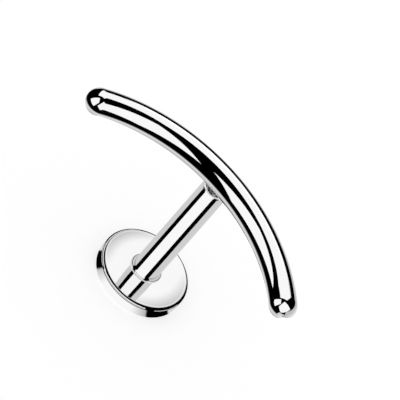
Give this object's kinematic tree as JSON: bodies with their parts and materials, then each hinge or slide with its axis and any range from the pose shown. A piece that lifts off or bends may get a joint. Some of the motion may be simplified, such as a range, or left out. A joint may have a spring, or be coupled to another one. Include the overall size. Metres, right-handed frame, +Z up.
{
  "type": "labret stud",
  "caption": "Flat-backed labret stud: a round disc with a straight post, and a curved round-ended bar that screws crosswise into the end of the post.",
  "frame": {"origin": "centre of the back of the disc, which is the face that the stud stands on", "axes": "+Z runs up the post from the disc to the bar; the bar's two ends lie along X and both bend towards -Y"},
  "size_m": [0.0124, 0.0048, 0.0082],
  "materials": {
    "polished_steel": "mirror-polished surgical steel, bare and not plated"
  },
  "bodies": {
    "post": {"labret_post": "polished_steel"},
    "top": {"curved_bar_top": "polished_steel"}
  },
  "joints": [
    {"name": "top_lift", "type": "slide", "parent": "post", "child": "top", "axis": [0, 0, 1], "range_m": [0, 0.008]}
  ]
}
